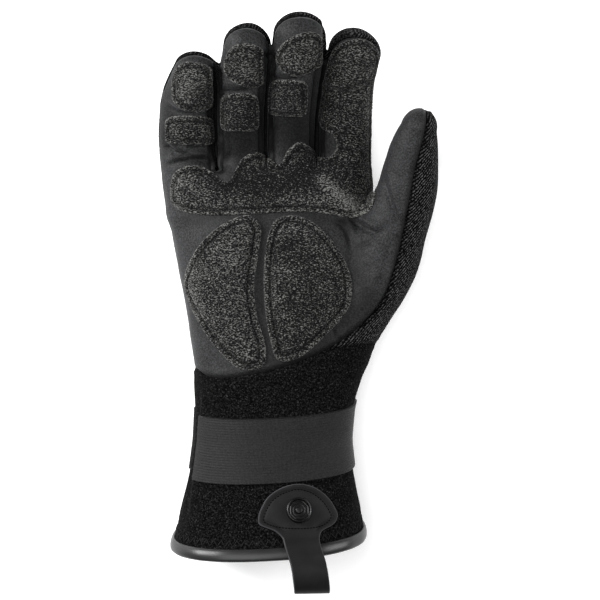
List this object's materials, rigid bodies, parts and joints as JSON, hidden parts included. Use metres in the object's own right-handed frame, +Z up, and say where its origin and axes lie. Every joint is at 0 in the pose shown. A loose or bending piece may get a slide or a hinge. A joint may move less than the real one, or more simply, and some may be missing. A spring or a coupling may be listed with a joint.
{
  "type": "paddling glove",
  "caption": "Neoprene paddling glove with a cupped palm, padded grip panels, a ribbed wrist strap and a snap pull tab with a loop at the cuff.",
  "frame": {"origin": "on the flat underside of the back panel, below the middle of the palm, where the glove rests", "axes": "+Y towards the fingertips, +X towards the thumb, +Z up out of the palm"},
  "size_m": [0.133, 0.2729, 0.0693],
  "materials": {
    "suede": "smooth synthetic suede with a soft sheen",
    "grip": "salt and pepper grip knit, rough",
    "plush": "plush-faced neoprene, matt",
    "knit": "ribbed knit over neoprene, matt",
    "elastic": "ribbed elastic webbing",
    "binding": "smooth folded tape, semi-gloss",
    "tab": "matt coated leather-like sheet",
    "snap": "gloss black enamel"
  },
  "bodies": {
    "root": {"palm_panel": "suede", "back_panel": "knit", "gauntlet": "plush", "fourchette_pinky_ring": "suede", "fourchette_ring_middle": "suede", "fourchette_middle_index": "suede", "pad_ulnar": "grip", "pad_radial": "grip", "knuckle_patch": "grip", "patch_pinky_tip": "grip", "patch_pinky_mid": "grip", "patch_ring_tip": "grip", "patch_ring_mid": "grip", "patch_middle_tip": "grip", "patch_middle_mid": "grip", "wrist_strap": "elastic", "hem_binding": "binding", "pull_tab": "tab", "snap_fastener": "snap"}
  },
  "joints": []
}
